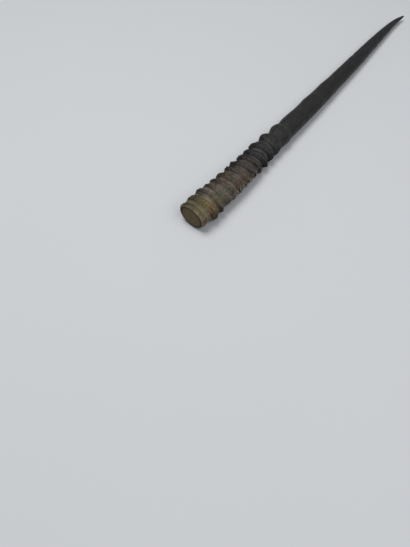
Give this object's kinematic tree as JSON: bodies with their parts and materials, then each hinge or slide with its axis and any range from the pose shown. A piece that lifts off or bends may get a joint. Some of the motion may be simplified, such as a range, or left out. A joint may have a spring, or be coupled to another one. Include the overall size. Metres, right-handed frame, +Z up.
{
  "type": "gemsbok horn",
  "caption": "Long, nearly straight tapering antelope horn, ringed at the foot and smooth towards a sharp tip, sawn off flat and lying on its side.",
  "frame": {"origin": "on the surface the horn lies on, under the middle of its bounding box", "axes": "+X along the horn from the sawn foot to the tip, +Z up from the surface it lies on, +Y to the side that the horn's ringed front faces"},
  "size_m": [0.89, 0.0654, 0.057],
  "materials": {
    "horn": "dark grey-brown keratin, satin, olive and reddish brown and dusty on the rings near the foot, charcoal and smoother towards the tip"
  },
  "bodies": {
    "root": {"horn": "horn"}
  },
  "joints": []
}
